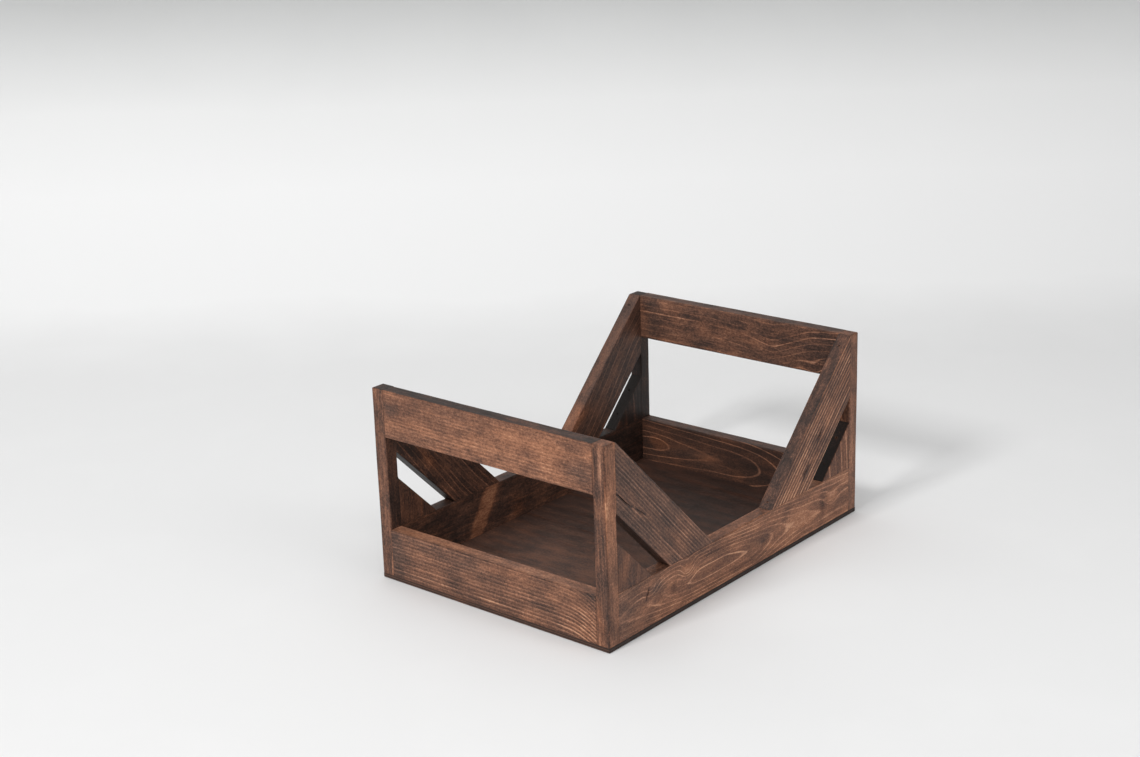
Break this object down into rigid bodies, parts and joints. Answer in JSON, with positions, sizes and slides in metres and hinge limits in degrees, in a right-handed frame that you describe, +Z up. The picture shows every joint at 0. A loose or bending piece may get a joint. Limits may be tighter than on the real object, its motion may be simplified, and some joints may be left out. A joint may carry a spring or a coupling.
{
  "type": "album stand",
  "caption": "Open timber album stand with post-and-rail end frames, low side rails, diagonal corner braces forming a wide V on each side, and a flat bottom panel.",
  "frame": {"origin": "centre of the footprint, on the surface that the stand rests on", "axes": "+X across the stand to the right seen from its front end frame, +Y along it from the front end frame to the back one, +Z up"},
  "size_m": [0.355, 0.515, 0.245],
  "materials": {
    "plywood": "dark walnut stain, satin",
    "post_timber": "dark walnut stain over pine, satin",
    "rail_timber": "dark walnut stain over pine, satin",
    "brace_timber": "dark walnut stain over pine, satin",
    "gusset_timber": "dark walnut stain over pine, satin",
    "dowel_beech": "plain, unfinished",
    "brad_steel": "bright"
  },
  "bodies": {
    "root": {"bottom_panel": "plywood", "post_front_left": "post_timber", "post_front_right": "post_timber", "post_back_left": "post_timber", "post_back_right": "post_timber", "front_top_rail": "rail_timber", "front_bottom_rail": "rail_timber", "back_top_rail": "rail_timber", "back_bottom_rail": "rail_timber", "side_rail_left": "rail_timber", "side_rail_right": "rail_timber", "brace_front_left": "brace_timber", "brace_front_right": "brace_timber", "brace_back_left": "brace_timber", "brace_back_right": "brace_timber", "gusset_front_left": "gusset_timber", "gusset_front_right": "gusset_timber", "gusset_back_left": "gusset_timber", "gusset_back_right": "gusset_timber", "front_frame_dowels": "dowel_beech", "back_frame_dowels": "dowel_beech", "side_rail_dowels": "dowel_beech", "brace_brads": "brad_steel", "gusset_brads": "brad_steel", "panel_brads": "brad_steel"}
  },
  "joints": []
}
